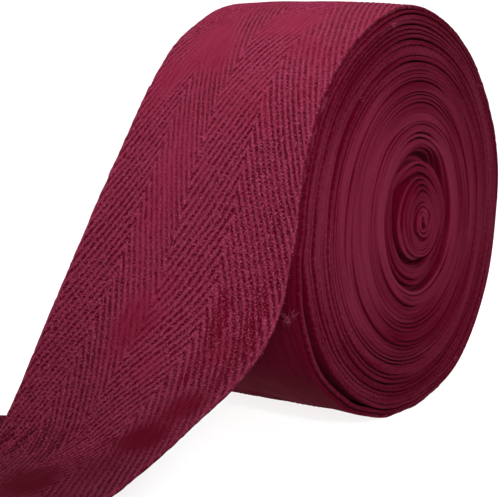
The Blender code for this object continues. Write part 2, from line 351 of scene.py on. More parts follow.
# Lint caught on the roll: place in millimetres, how many fibres and how long they are
LintRow = namedtuple("LintRow", "x y z fibres length")
LINT = (
    LintRow(22.4, -49.2, 31.2, 22, 2.8),
    LintRow(23.6, -49.6, 32.8, 16, 2.2),
    LintRow(21.2, -49.4, 32.4, 8, 2.0),
    LintRow(25.9, -9.8, 97.6, 8, 1.3),
    LintRow(25.7, 36.5, 81.0, 8, 1.3),
    LintRow(26.2, 25.6, 9.6, 7, 1.2),
    LintRow(26.2, -29.7, 26.3, 5, 1.2),
    LintRow(25.9, -23.7, 80.4, 4, 1.0),
)

# Short fibres along the open selvedge, how thick they and the lint are, and the steps along each
SELVEDGE_FIBRES = 170
SELVEDGE_FIBRE_LENGTH = 0.0009
LINT_RADIUS = 0.00010
FIBRE_RADIUS = 0.00005
FIBRE_STEPS = 5

# The studio's lamps: place, aim and size in metres, power in watts, spread in degrees
LightRow = namedtuple("LightRow", "name place aim size power spread")
SOFT_LIGHTS = (
    LightRow("front_light", (0.50, -0.75, 0.30), (0.0, -0.02, 0.05), 0.40, 0.77, 120.0),
    LightRow("top_light", (-0.05, -0.08, 0.48), (0.0, 0.01, 0.09), 0.14, 0.058, 34.0),
    LightRow("side_light", (0.42, -0.42, 0.32), (0.025, -0.030, 0.072), 0.12, 0.0155, 18.0),
)
ROOM_LIGHT = 0.178
FLOOR_WASH = 3.8

# The camera's place in metres, its angles in degrees and its lens in millimetres
CAMERA_PLACE = (0.23596, -0.37823, 0.10790)
CAMERA_AZIMUTH = 34.30
CAMERA_ELEVATION = 8.685
CAMERA_LENS = 125.7


class TapeSizes(PropertyGroup):
    """Sizes of the tape and of its winding"""

    turn_pitch: FloatProperty(
        name="Turn pitch",
        description="Distance from one turn of the roll to the next",
        default=0.0011,
        min=0.0008,
        unit="LENGTH",
    )
    rib_spacing: FloatProperty(
        name="Rib spacing",
        description="Distance between the twill's ribs, along the tape",
        default=0.0041,
        min=0.002,
        unit="LENGTH",
    )
    rib_depth: FloatProperty(
        name="Rib depth",
        description="Depth of the valleys between the ribs",
        default=0.00026,
        min=0.0,
        unit="LENGTH",
    )
    edge_wander: FloatProperty(
        name="Edge wander",
        description="How far single turns stand out of line at the faces",
        default=0.00022,
        min=0.0,
        unit="LENGTH",
    )


class TapeColours(PropertyGroup):
    """Colours of the tape"""

    rib: FloatVectorProperty(
        name="Ribs",
        description="Colour of the twill's ribs",
        subtype="COLOR",
        size=4,
        default=(0.430, 0.043, 0.110, 1.0),
    )
    # The valleys' colour is painted as their shade, and the painted shade of the tape and the face runs
    # toward it
    valley: FloatVectorProperty(
        name="Valleys",
        description="Colour between the ribs",
        subtype="COLOR",
        size=4,
        default=(0.180, 0.0010, 0.019, 1.0),
    )
    # Pale fluff on the ribs, painted lighter as highlights on their crests
    pale_fluff_highlight: FloatVectorProperty(
        name="Tufts",
        description="Colour of the raised fluff on the ribs",
        subtype="COLOR",
        size=4,
        default=(0.620, 0.110, 0.210, 1.0),
    )
    edge: FloatVectorProperty(
        name="Edges",
        description="Colour of the wound selvedges",
        subtype="COLOR",
        size=4,
        default=(0.380, 0.034, 0.092, 1.0),
    )
    floor: FloatVectorProperty(
        name="Floor",
        description="Colour of the studio floor",
        subtype="COLOR",
        size=4,
        default=(0.90, 0.90, 0.90, 1.0),
    )


def eased(share):
    """A share from 0 to 1 that starts and ends gently."""
    return share * share * (3.0 - 2.0 * share)


def read_rows(rows, column, places):
    """Values of a column at places along the rows' first column, eased between the rows."""
    stations = np.array([row[0] for row in rows])
    values = np.array([getattr(row, column) for row in rows])
    before = np.clip(np.searchsorted(stations, places) - 1, 0, len(rows) - 2)
    run = stations[before + 1] - stations[before]
    share = eased(np.clip((places - stations[before]) / run, 0.0, 1.0))
    return values[before] + (values[before + 1] - values[before]) * share


def wander(places, spacing, seed):
    """Smooth seeded wander between -1 and 1 along places, changing its mind about every spacing."""
    steps = np.asarray(places) / spacing
    steps = steps - np.floor(np.min(steps))
    knots = np.random.default_rng(seed).uniform(-1.0, 1.0, int(np.max(steps)) + 3)
    before = np.floor(steps).astype(int)
    share = eased(steps - before)
    return knots[before] * (1.0 - share) + knots[before + 1] * share


def patchy(turns, turned, turn_spacing, parts, seed):
    """Smooth seeded patches between -1 and 1 over the turns and round the roll (in radians)."""
    rings = int(np.max(turns) / turn_spacing) + 3
    knots = np.random.default_rng(seed).uniform(-1.0, 1.0, (rings, parts))
    inward = turns / turn_spacing
    round_roll = np.mod(turned / (2.0 * math.pi), 1.0) * parts
    row = np.floor(inward).astype(int)
    column = np.floor(round_roll).astype(int)
    down = eased(inward - row)
    over = eased(round_roll - column)
    column = column % parts
    beside = (column + 1) % parts
    outer = knots[row, column] * (1.0 - over) + knots[row, beside] * over
    inner = knots[row + 1, column] * (1.0 - over) + knots[row + 1, beside] * over
    return outer * (1.0 - down) + inner * down


def soft_noise(length, across, spacing, seed):
    """Smooth seeded noise between -1 and 1 over the flat tape, from places in metres."""
    u = (length + 0.1) / spacing
    v = (across + TAPE_WIDTH) / spacing
    size = (int(np.max(u)) + 3, int(np.max(v)) + 3)
    knots = np.random.default_rng(seed).uniform(-1.0, 1.0, size)
    row = np.floor(u).astype(int)
    column = np.floor(v).astype(int)
    down = eased(u - row)
    over = eased(v - column)
    near = knots[row, column] * (1.0 - over) + knots[row, column + 1] * over
    far = knots[row + 1, column] * (1.0 - over) + knots[row + 1, column + 1] * over
    return near * (1.0 - down) + far * down


def outline_offset(angle, across):
    """How far the outside stands from the roll's radius, in metres, without the crown."""
    open_share = across / TAPE_WIDTH + 0.5
    open_face = read_rows(OUTLINE, "open_face", angle)
    far_face = read_rows(OUTLINE, "far_face", angle)
    return (far_face + (open_face - far_face) * open_share) * MILLIMETRE


def outline_radius(angle, across):
    """Radius of the roll's outside at angles from the top and places across the width."""
    from_top = np.abs((angle + 180.0) % 360.0 - 180.0)
    crown_here = np.cos(2.0 * np.radians(np.minimum(from_top, 45.0)))
    crown = TOP_CROWN * crown_here * (1.0 - (2.0 * across / TAPE_WIDTH) ** 2)
    return ROLL_RADIUS + outline_offset(angle, across) + crown


def sag_at(angle, across):
    """How far the two outermost turns hang away from the others, in metres."""
    open_share = np.clip(across / TAPE_WIDTH + 0.5, 0.0, 1.0)
    return SAG_DEPTH * read_rows(SAG, "sag", angle) * open_share ** 1.5


def smooth_line(points, steps=12):
    """Points along a smooth curve through the given ones, which leaves each along its neighbours."""
    points = np.array(points)
    chords = np.diff(points, axis=0)
    spans = np.linalg.norm(chords, axis=1)[:, None]
    slopes = chords / spans
    inner = (slopes[:-1] * spans[1:] + slopes[1:] * spans[:-1]) / (spans[:-1] + spans[1:])
    slopes = np.concatenate((slopes[:1], inner, slopes[-1:]))
    line = []
    for i, span in enumerate(spans):
        for t in np.arange(steps) / steps:
            rise = eased(t)
            leaving = slopes[i] * t * (1.0 - t) ** 2
            arriving = slopes[i + 1] * t * t * (1.0 - t)
            line.append(points[i] + chords[i] * rise + (leaving - arriving) * span)
    line.append(points[-1])
    return line


def selvedge_line(across, leaves, free_rows):
    """One selvedge of the loose end as dense (y, z) points, and the length up to each of them."""
    angles = np.arange(SHEET_BEGINS_ANGLE, leaves + 0.5, 1.0)
    radii = outline_radius(angles, across) + TOUCHING_GAP + TAPE_THICKNESS
    turned = np.radians(angles)
    on_roll = list(np.stack((-radii * np.sin(turned), CENTRE_HEIGHT + radii * np.cos(turned)), axis=1))
    free = [np.array((-row.forward, row.height)) * MILLIMETRE for row in free_rows]
    line = on_roll[:-3] + smooth_line([on_roll[-3], on_roll[-1], *free])
    line.append(np.array((-FLAT_RUN_END, line[-1][1])))
    line = np.array(line)
    lengths = np.concatenate(([0.0], np.cumsum(np.linalg.norm(np.diff(line, axis=0), axis=1))))
    return line, lengths


def fold_under(places):
    """Points of the flat run, turned back under it where they lie past the fold line."""
    outward = np.array((math.sin(FOLD_TURN), -math.cos(FOLD_TURN)))
    past = (places[..., :2] - np.array((0.0, -FOLD_FORWARD))) @ outward
    half_turn = math.pi * FOLD_RADIUS
    bend = np.clip(past, 0.0, half_turn) / FOLD_RADIUS
    reach = FOLD_RADIUS * np.sin(bend) - np.maximum(past - half_turn, 0.0)
    moved = np.where(past > 0.0, reach - past, 0.0)
    sink = FOLD_RADIUS * (1.0 - np.cos(bend))
    return np.stack(
        (
            places[..., 0] + moved * outward[0],
            places[..., 1] + moved * outward[1],
            places[..., 2] - sink,
        ),
        axis=-1,
    )


def outer_tape_place(length, across):
    """Points of the outer tape's outer face: round the roll once, then down the loose end."""
    angle = OUTER_TURN_BEGINS + np.degrees(np.minimum(length, OUTER_TURN_LENGTH) / ROLL_RADIUS)
    radius = outline_radius(angle, across)
    turned = np.radians(angle)
    on_roll = np.stack(
        (
            across + read_rows(OUTER_TURN_SHIFT, "shift", angle) * MILLIMETRE,
            -radius * np.sin(turned),
            np.maximum(CENTRE_HEIGHT + radius * np.cos(turned), 0.0),
        ),
        axis=-1,
    )
    half_width = TAPE_WIDTH / 2.0
    far_line = selvedge_line(-half_width, FAR_SELVEDGE_LEAVES, FAR_SELVEDGE)
    open_line = selvedge_line(half_width, OPEN_SELVEDGE_LEAVES, OPEN_SELVEDGE)
    free_length = length - OUTER_TURN_LENGTH
    share = across / TAPE_WIDTH + 0.5
    sides = []
    for line, lengths in (far_line, open_line):
        sides.append([np.interp(free_length, lengths, line[:, i]) for i in range(2)])
    along = [far + (near - far) * share for far, near in zip(*sides)]
    loose = fold_under(np.stack((across, *along), axis=-1))
    return np.where((length < OUTER_TURN_LENGTH)[..., None], on_roll, loose)


def outward_normals(place, length, across):
    """Unit normals of a tape's outer face, from its run along and across the tape."""
    nudge = 0.0004
    along = place(length + nudge, across) - place(length - nudge, across)
    over = place(length, across + nudge) - place(length, across - nudge)
    normal = np.cross(along, over)
    return normal / np.linalg.norm(normal, axis=-1, keepdims=True)


def rib_offset(across):
    """How far a rib has run along the tape at places across it, from the far selvedge."""
    stations = [-TAPE_WIDTH / 2.0] + [row.across - TAPE_WIDTH / 2.0 for row in CHEVRONS]
    offsets = [0.0]
    for i, row in enumerate(CHEVRONS):
        offsets.append(offsets[-1] + row.climb * (stations[i + 1] - stations[i]))
    return np.interp(across, stations, offsets)


def open_band(rows, columns):
    """A bmesh grid with one column more than the section has, to be welded to the first."""
    band = bmesh.new()
    bmesh.ops.create_grid(band, x_segments=rows - 1, y_segments=columns, size=0.5)
    return band


def grid_index(vertex, rows, columns):
    """Row and column of a fresh grid's vertex."""
    return round((vertex.co.x + 0.5) * (rows - 1)), round((vertex.co.y + 0.5) * columns)


def place_grid(band, places):
    """Moves a grid's vertices to an array of places, and welds its seam."""
    rows, columns = places.shape[:2]
    for vertex in band.verts:
        row, column = grid_index(vertex, rows, columns)
        vertex.co = places[row, column % columns]
    bmesh.ops.remove_doubles(band, verts=band.verts, dist=1e-7)


def close_ends(band):
    """Fills the tape's two open ends."""
    open_edges = [edge for edge in band.edges if edge.is_boundary]
    bmesh.ops.holes_fill(band, edges=open_edges, sides=0)


def vertex_places(mesh):
    """A mesh's points as rows of x, y, z."""
    places = np.empty(len(mesh.vertices) * 3, np.float32)
    mesh.vertices.foreach_get("co", places)
    return places.reshape(-1, 3).astype(float)


def add_uv_map(mesh, name, values):
    """A UV map from one pair of values for each vertex."""
    corners = np.empty(len(mesh.loops), np.int32)
    mesh.loops.foreach_get("vertex_index", corners)
    uv_map = mesh.uv_layers.new(name=name)
    uv_map.data.foreach_set("uv", values[corners].astype(np.float32).ravel())


def finish_piece(name, mesh, slot, *materials):
    """Object at the origin for a finished mesh, riding on the roll."""
    for material in materials:
        mesh.materials.append(material)
    mesh.shade_smooth()
    piece = bpy.data.objects.new(name, mesh)
    bpy.context.scene.collection.objects.link(piece)
    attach(piece, "root")
    return piece


def edge_points(steps):
    """A selvedge's rounding from the outer face to the inner one: (outward, down) shares."""
    points = []
    for turn in np.linspace(math.pi / 2.0, -math.pi / 2.0, 2 * steps + 1):
        outward = abs(math.cos(turn)) ** EDGE_FULLNESS
        down = 0.5 - 0.5 * math.copysign(abs(math.sin(turn)) ** EDGE_FULLNESS, turn)
        points.append((outward, down))
    return points


def tape_section(outer_places, inner_places):
    """Closed section of a tape: places across, and depth as a share of the thickness."""
    flat_half = TAPE_WIDTH / 2.0 - TAPE_EDGE_ROUND
    rounding = edge_points(TAPE_EDGE_STEPS)[1:-1]
    across = list(outer_places)
    depth = [0.0] * len(across)
    for outward, down in rounding:
        across.append(flat_half + TAPE_EDGE_ROUND * outward)
        depth.append(down)
    across += reversed(inner_places)
    depth += [1.0] * len(inner_places)
    for outward, down in reversed(rounding):
        across.append(-flat_half - TAPE_EDGE_ROUND * outward)
        depth.append(down)
    return np.array(across), np.array(depth)


def wound_plain_radius(inward, pitch):
    """Radius of the winding, a number of turns in from where the outermost turn begins."""
    return ROLL_RADIUS - TAPE_THICKNESS - TOUCHING_GAP - pitch * inward


def wound_place(inward, across, pitch):
    """Points (y, z) of the wound turns' outer face."""
    angle = OUTER_TURN_BEGINS + 360.0 * (1.0 - inward % 1.0)
    plain = wound_plain_radius(inward, pitch)
    last_turn = wound_plain_radius(1.0, pitch)
    share = np.clip(plain / last_turn, 0.0, 1.0)
    step_down = (TAPE_THICKNESS + TOUCHING_GAP) * (OUTER_TURN_BEGINS + 360.0 - angle) / 360.0
    unevenness = outline_offset(angle, across) + step_down - sag_at(angle, across)
    radius = plain + unevenness * share ** UNEVENNESS_FADE
    radius = radius + np.where(inward < 1.0, sag_at(angle, across), 0.0)
    turned = np.radians(angle)
    waving = np.clip(1.0 - share, 0.0, 0.1) * 10.0 * np.clip(share * 3.0, 0.0, 1.0)
    for row in TURN_WAVES:
        wave = np.sin(row.waves * turned + row.phase + row.twist * share)
        radius = radius + row.size * MILLIMETRE * wave * waving
    inside = np.clip((inward - 3.0) / 4.0, 0.0, 1.0) * np.clip(share * 8.0, 0.0, 1.0)
    radius = radius + SPREAD_SIZE * inside * patchy(inward, turned, SPREAD_TURNS, SPREAD_PARTS, 61)
    oval = read_rows(TURNS_LIE, "oval", share)
    back = read_rows(TURNS_LIE, "back", share) * MILLIMETRE
    drop = read_rows(TURNS_LIE, "drop", share) * MILLIMETRE
    y = back - radius * (1.0 - oval) * np.sin(turned)
    z = CENTRE_HEIGHT - drop + radius * (1.0 + oval) * np.cos(turned)
    turns_below = inward + OUTER_TURN_BEGINS / 360.0 + 0.22
    lowest = (TAPE_THICKNESS + BETWEEN_TURNS) * turns_below
    lowest = np.where(inward < FLATTENED_TURNS, lowest, 0.0)
    return np.stack((y, np.maximum(z, lowest)), axis=-1)


def turned_angle(inward):
    """Angle from the top toward the front, in radians, at places along the winding."""
    return np.radians(OUTER_TURN_BEGINS + 360.0 * (1.0 - inward % 1.0))


def read_sides(rows, inward, pitch):
    """Values of a table by radius and side at places along the winding."""
    radius = wound_plain_radius(inward, pitch) / MILLIMETRE
    turned = turned_angle(inward)
    weights = {
        "top": np.clip(np.cos(turned), 0.0, 1.0) ** 2,
        "front": np.clip(np.sin(turned), 0.0, 1.0) ** 2,
        "bottom": np.clip(-np.cos(turned), 0.0, 1.0) ** 2,
        "back": np.clip(-np.sin(turned), 0.0, 1.0) ** 2,
    }
    return sum(read_rows(rows, side, radius) * share for side, share in weights.items())


def groove_openness(inward, pitch):
    """How open the groove is between each turn and the one outside it, from 0 to 1."""
    turned = turned_angle(inward)
    level = read_sides(OPENNESS, inward, pitch)
    level = level + 0.85 * patchy(inward, turned, 1.0, 5, 21)
    level = level + 0.35 * patchy(inward, turned, 2.6, 9, 22)
    return eased(np.clip(level, 0.0, 1.0))


def turn_relief(inward, looseness, wander_size, pitch):
    """How far each turn stands out along the axis, in metres: in groups, and singly where loose."""
    turned = turned_angle(inward)
    relief = read_sides(OPEN_FACE, inward, pitch) * MILLIMETRE
    relief = relief + 1.2 * wander_size * patchy(inward, turned, 3.2, 7, 31)
    relief = relief + 1.6 * wander_size * patchy(inward, turned, 1.3, 5, 32) * looseness
    return relief + wander_size * wander(inward, 0.23, 13) * (0.04 + 0.9 * looseness)


def wound_stations(pitch):
    """Places along the winding, as turns inward from its outer end."""
    stations = [0.0002]
    while wound_plain_radius(stations[-1], pitch) > CORE_END_RADIUS:
        round_here = 2.0 * math.pi * wound_plain_radius(stations[-1], pitch)
        stations.append(stations[-1] + 1.0 / min(max(round_here / WOUND_STEP, FEWEST_STEPS), MOST_STEPS))
    return np.array(stations[::-1])


SectionRow = namedtuple("SectionRow", "side outward depth inset")


def wound_section():
    """Section of a wound turn. The side is -1 at the far face and 1 at the open one, outward is a
    share of the edge's rounding, depth a share of the thickness, and inset 1 behind the edge."""
    open_edge = edge_points(WOUND_EDGE_STEPS)[1:-1]
    far_edge = edge_points(FAR_EDGE_STEPS)[-2:0:-1]
    rows = [
        SectionRow(-1.0, 0.0, 0.0, 0.0),
        SectionRow(1.0, 0.0, 0.0, 1.0),
        SectionRow(1.0, 0.0, 0.0, 0.0),
        *(SectionRow(1.0, outward, down, 0.0) for outward, down in open_edge),
        SectionRow(1.0, 0.0, 1.0, 0.0),
        SectionRow(1.0, 0.0, 1.0, 1.0),
        SectionRow(-1.0, 0.0, 1.0, 0.0),
        *(SectionRow(-1.0, outward, down, 0.0) for outward, down in far_edge),
    ]
    return np.array(rows).T


def wound_places(stations, sizes):
    """For each point of each section along the winding: its place, its place on the flat tape,
    its place over the rings of the face, and its painted shading, painted shade above 0 and painted
    light below it."""
    pitch = sizes.turn_pitch
    half_width = TAPE_WIDTH / 2.0
    side, outward, depth, inset = wound_section()[:, None, :]
    outer_groove = groove_openness(stations, pitch)[:, None]
    inner_groove = groove_openness(stations + 1.0, pitch)[:, None]
    groove = np.where(depth < 0.5, outer_groove, inner_groove)
    rounding = SHUT_EDGE_ROUND + (OPEN_EDGE_ROUND - SHUT_EDGE_ROUND) * groove
    across = side * (half_width - (rounding * (1.0 - outward) + PAINTED_SHADE_INSET * inset))
    inward = stations[:, None] + 0.0 * across
    outer = wound_place(inward, across, pitch)
    step = wound_place(inward + 1.0, across, pitch) - outer
    gap = np.linalg.norm(step, axis=-1)
    fullest = TAPE_THICKNESS * (1.5 - 0.42 * inner_groove)
    thick = np.minimum(fullest, gap * (0.999 - WIDEST_GAP * inner_groove))
    yz = outer + step * (thick * depth / np.maximum(gap, 1e-6))[..., None]
    looseness = 0.5 * (outer_groove + inner_groove)[:, 0]
    relief = turn_relief(stations, looseness, sizes.edge_wander, pitch)
    places = np.concatenate(((across + relief[:, None])[..., None], yz), axis=-1)
    ring = wound_plain_radius(inward + depth * thick / np.maximum(gap, 1e-6), pitch)
    run = np.linalg.norm(np.diff(places[:, 0], axis=0), axis=-1)
    length = np.concatenate(([0.0], np.cumsum(run)))[:, None] + 0.0 * across
    half_round = side * (half_width + TAPE_THICKNESS * (depth - 0.5)) + 0.0 * across
    flat = np.stack((length, half_round), axis=-1) / MILLIMETRE
    rings = np.stack((ring, half_round), axis=-1) / MILLIMETRE
    # Painted shade on the open face by radius and side, at the turns' corners with their grooves, and
    # full on the flat sides behind the face
    painted_face_shading = read_sides(PAINTED_FACE_SHADING, stations, pitch)[:, None] * (side > 0.0)
    painted_face_shading = painted_face_shading + CORNER_PAINTED_SHADE * groove * (2.0 * depth - 1.0) ** 2
    painted_face_shading = np.where(inset > 0.0, CORNER_PAINTED_SHADE, np.minimum(painted_face_shading, DEEPEST_PAINTED_SHADE))
    return places, flat, rings, painted_face_shading


def build_wound_turns(sizes, colours):
    """The wound turns: one long tape in a spiral from the core to under the outermost turn."""
    stations = wound_stations(sizes.turn_pitch)
    places, flat, rings, painted_face_shading = wound_places(stations, sizes)
    rows, columns = places.shape[:2]
    band = open_band(rows, columns)
    # Each point carries its painted shade and painted light lines
    painted_shading_layer = band.verts.layers.float.new("painted_face_shading")
    tape_places = {}
    ring_places = {}
    for vertex in band.verts:
        row, column = grid_index(vertex, rows, columns)
        vertex.co = places[row, column % columns]
        vertex[painted_shading_layer] = painted_face_shading[row, column % columns]
        tape_places[vertex] = flat[row, column % columns]
        ring_places[vertex] = rings[row, column % columns]
    tape_uv = band.loops.layers.uv.new("tape")
    ring_uv = band.loops.layers.uv.new("rings")
    for face in band.faces:
        for loop in face.loops:
            loop[tape_uv].uv = tape_places[loop.vert]
            loop[ring_uv].uv = ring_places[loop.vert]
    bmesh.ops.remove_doubles(band, verts=band.verts, dist=1e-7)
    close_ends(band)
    bmesh.ops.recalc_face_normals(band, faces=band.faces)
    mesh = bpy.data.meshes.new("wound_turns")
    band.to_mesh(mesh)
    band.free()
    piece = finish_piece("wound_turns", mesh, "wound_tape", selvedge_material(colours))
    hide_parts("wound_roll")
    return piece


def outer_tape_columns():
    """Places across the outer face: the herringbone's turning lines with even steps between them,
    and close steps over the selvedge strands."""
    half_width = TAPE_WIDTH / 2.0
    edge = half_width - TAPE_EDGE_ROUND
    strands = half_width - SELVEDGE_ZONE
    stops = [-strands] + [row.across - half_width for row in CHEVRONS[:-1]] + [strands]
    places = list(np.linspace(-edge, -strands, SELVEDGE_COLUMNS, endpoint=False))
    for left, right in zip(stops, stops[1:]):
        steps = max(1, round((right - left) / RIB_COLUMN_SPACING))
        places += list(np.linspace(left, right, steps, endpoint=False))
    places += list(np.linspace(strands, edge, SELVEDGE_COLUMNS + 1))
    return places


def inner_face_columns(far_edge, open_edge):
    """Places across the inner face: the herringbone's turning lines, and one halfway to each."""
    lines = [row.across - TAPE_WIDTH / 2.0 for row in CHEVRONS[:-1]]
    places = [far_edge]
    for line in (*lines, open_edge):
        places += [0.5 * (places[-1] + line), line]
    return places


def rib_relief(phase, across, depth):
    """How far the outer face sinks below the ribs' crests."""
    half_width = TAPE_WIDTH / 2.0
    valley = (0.5 - 0.5 * np.cos(2.0 * math.pi * phase)) ** 1.4
    from_edge = half_width - np.abs(across)
    strand = (0.5 - 0.5 * np.cos(2.0 * math.pi * from_edge / SELVEDGE_STRAND)) ** 1.4
    inside = np.clip((from_edge - SELVEDGE_ZONE + 0.0004) / 0.0008, 0.0, 1.0)
    return depth * (valley * inside + 0.6 * strand * (1.0 - inside))


def patch_values(rows, length, across):
    """How far places on the flat tape belong to a table's patches, from 0 to 1."""
    blur = 1.0 + 0.35 * soft_noise(length, across, 0.007, 41)
    blur = blur + 0.25 * soft_noise(length, across, 0.0025, 42)
    patches = np.zeros_like(length)
    for row in rows:
        along = (length / MILLIMETRE - row.length) / row.long
        over = (across / MILLIMETRE - row.across) / row.wide
        reach = np.clip(1.45 - np.sqrt(along ** 2 + over ** 2) * blur, 0.0, 1.0)
        patches = np.maximum(patches, row.strength * eased(reach))
    return patches


def add_point_values(mesh, name, values):
    """A value for each vertex, for the finish to read."""
    attribute = mesh.attributes.new(name, "FLOAT", "POINT")
    attribute.data.foreach_set("value", values.astype(np.float32))


def squared_off(length):
    """How far the mesh's rows have turned square to the tape, from 0 to 1 ahead of the fold."""
    begin, end = SHEAR_ENDS
    return np.clip((length - begin) / (end - begin), 0.0, 1.0)


def flat_tape_mesh(sizes):
    """The outer tape flat, its points at (length, across, depth as a share of the thickness).
    Its rows follow the ribs, so that each rib's crest and valley is a row."""
    columns = outer_tape_columns()
    across, depth = tape_section(columns, inner_face_columns(columns[0], columns[-1]))
    offsets = rib_offset(across)
    row_step = sizes.rib_spacing / RIB_ROWS
    begin = -offsets.max() - row_step
    end = OUTER_TAPE_LENGTH - offsets.min() + 2.0 * row_step
    stations = np.arange(begin, end, row_step)
    length = stations[:, None] + offsets * eased(1.0 - squared_off(stations))[:, None]
    flat = np.stack((length, across + 0.0 * length, depth + 0.0 * length), axis=-1)
    band = open_band(len(stations), len(across))
    place_grid(band, flat)
    for cut, side in ((0.0, -1.0), (OUTER_TAPE_LENGTH, 1.0)):
        bmesh.ops.bisect_plane(
            band,
            geom=band.verts[:] + band.edges[:] + band.faces[:],
            dist=1e-7,
            plane_co=(cut, 0.0, 0.0),
            plane_no=(side, 0.0, 0.0),
            clear_outer=True,
        )
    close_ends(band)
    mesh = bpy.data.meshes.new("outer_turn_and_loose_end")
    band.to_mesh(mesh)
    band.free()
    return mesh


def tape_relief(phase, length, across, pressed, rib_depth):
    """How far the outer face sinks in the valleys and hollows of the weave, in metres."""
    relief = rib_relief(phase, across, rib_depth) * (1.0 - squared_off(length)) * (1.0 - pressed)
    relief = relief * (1.0 + 0.35 * soft_noise(length, across, 0.0045, 53))
    return relief + HOLLOWS * soft_noise(length, across, 0.009, 54)


def selvedge_fray(length, across):
    """How far the selvedges' points stand out of line along the width, in metres."""
    at_edge = np.clip((np.abs(across) - EDGE_FRAY_BEGINS) / 0.0012, 0.0, 1.0)
    middle = np.zeros_like(across)
    frayed = soft_noise(length, middle, 0.0011, 55) + 0.6 * soft_noise(length, middle, 0.004, 56)
    return np.sign(across) * EDGE_FRAY * at_edge * frayed * (length < FOLD_LENGTH)


def painted_shade_and_darkening(length, across, depth):
    """How dark the tape is painted: painted shade along its open rim and on its inner face, and the
    patches of painted shade and darker patches.
    """
    # Painted shade on the rim of the open selvedge and on the tape's inner face
    rim = 0.9 * np.clip((across - OPEN_RIM) / 0.0004, 0.0, 1.0)
    rim = rim * np.clip(0.7 + 0.8 * soft_noise(length, across, 0.005, 57), 0.0, 1.0)
    inner_face = INNER_FACE_PAINTED_SHADE * np.clip(2.0 * depth, 0.0, 1.0)
    return np.maximum(patch_values(PAINTED_SHADE_AND_DARK_PATCHES, length, across), np.maximum(rim, inner_face))


def build_outer_tape(sizes, colours):
    """The outermost turn and the loose end: one tape, made flat and then laid in place."""
    mesh = flat_tape_mesh(sizes)
    length, across, depth = vertex_places(mesh).T
    phase = (length - rib_offset(across)) / sizes.rib_spacing
    phase = phase + 0.10 * soft_noise(length, across, 0.0034, 51)
    phase = phase + 0.14 * soft_noise(length, across, 0.011, 52)
    pressed = patch_values(PRESSED, length, across)
    relief = tape_relief(phase, length, across, pressed, sizes.rib_depth)
    sunk = depth * TAPE_THICKNESS + relief * (1.0 - depth)
    places = outer_tape_place(length, across)
    places = places - outward_normals(outer_tape_place, length, across) * sunk[:, None]
    places[:, 0] += selvedge_fray(length, across)
    mesh.vertices.foreach_set("co", places.astype(np.float32).ravel())
    mesh.update()
    add_uv_map(mesh, "tape", np.stack((length, across), axis=1) / MILLIMETRE)
    add_uv_map(mesh, "ribs", np.stack((phase, across / MILLIMETRE), axis=1))
    add_point_values(mesh, "pressed", pressed)
    add_point_values(mesh, "beaded", patch_values(BEADED, length, across))
    # Painted shade and darker patches for the finish
    add_point_values(mesh, "painted_shade_and_dark", painted_shade_and_darkening(length, across, depth))
    piece = finish_piece("outer_turn_and_loose_end", mesh, "loose_tape", twill_material(colours))
    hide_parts("loose_end", "wound_roll")
    return piece


def fibre_places(root, lift, side, length, bend, radius):
    """Points of a curled fibre: rows along it, three points round it."""
    share = np.linspace(0.0, 1.0, FIBRE_STEPS)[:, None]
    turned = bend * share
    middle = root + length / bend * (np.sin(turned) * lift + (1.0 - np.cos(turned)) * side)
    normal = np.cos(turned) * side - np.sin(turned) * lift
    over = np.cross(lift, side)
    thin = radius * (1.0 - 0.6 * share)
    sides = [math.cos(turn) * normal + math.sin(turn) * over for turn in np.radians((0.0, 120.0, 240.0))]
    return np.stack([middle + thin * away for away in sides], axis=1)


def add_fibre(joined, chance, root, away, length, radius):
    """A fibre that stands off a surface in about the direction given."""
    lift = np.array(away) + chance.uniform(-0.7, 0.7, 3)
    lift = lift / np.linalg.norm(lift)
    side = np.cross(lift, chance.uniform(-1.0, 1.0, 3))
    side = side / np.linalg.norm(side)
    fibre_length = length * chance.uniform(0.5, 1.2)
    places = fibre_places(root, lift, side, fibre_length, chance.uniform(0.6, 2.4), radius)
    band = open_band(*places.shape[:2])
    place_grid(band, places)
    close_ends(band)
    bmesh.ops.recalc_face_normals(band, faces=band.faces)
    fibre = bpy.data.meshes.new("fibre")
    band.to_mesh(fibre)
    band.free()
    joined.from_mesh(fibre)
    bpy.data.meshes.remove(fibre)


def build_stray_fibres(colours):
    """Lint on the roll and short fibres along the tape's open selvedge."""
    chance = np.random.default_rng(71)
    joined = bmesh.new()
    for row in LINT:
        for _ in range(row.fibres):
            root = (np.array((row.x, row.y, row.z)) + chance.uniform(-0.5, 0.5, 3)) * MILLIMETRE
            away = (1.0, 0.0, 0.0) if row.x > 25.0 else (0.2, -1.0, 0.0)
            add_fibre(joined, chance, root, away, row.length * MILLIMETRE, LINT_RADIUS)
    lengths = chance.uniform(OUTER_TURN_LENGTH - 0.045, FOLD_LENGTH - 0.03, SELVEDGE_FIBRES)
    edge = np.full(SELVEDGE_FIBRES, TAPE_WIDTH / 2.0 - 0.0001)
    roots = outer_tape_place(lengths, edge)
    sunk = chance.uniform(0.1, 0.7, SELVEDGE_FIBRES)[:, None] * MILLIMETRE
    for root in roots - outward_normals(outer_tape_place, lengths, edge) * sunk:
        add_fibre(joined, chance, root, (1.0, 0.0, 0.0), SELVEDGE_FIBRE_LENGTH, FIBRE_RADIUS)
    mesh = bpy.data.meshes.new("stray_fibres")
    joined.to_mesh(mesh)
    joined.free()
    return finish_piece("stray_fibres", mesh, "loose_tape", fibre_material(colours))


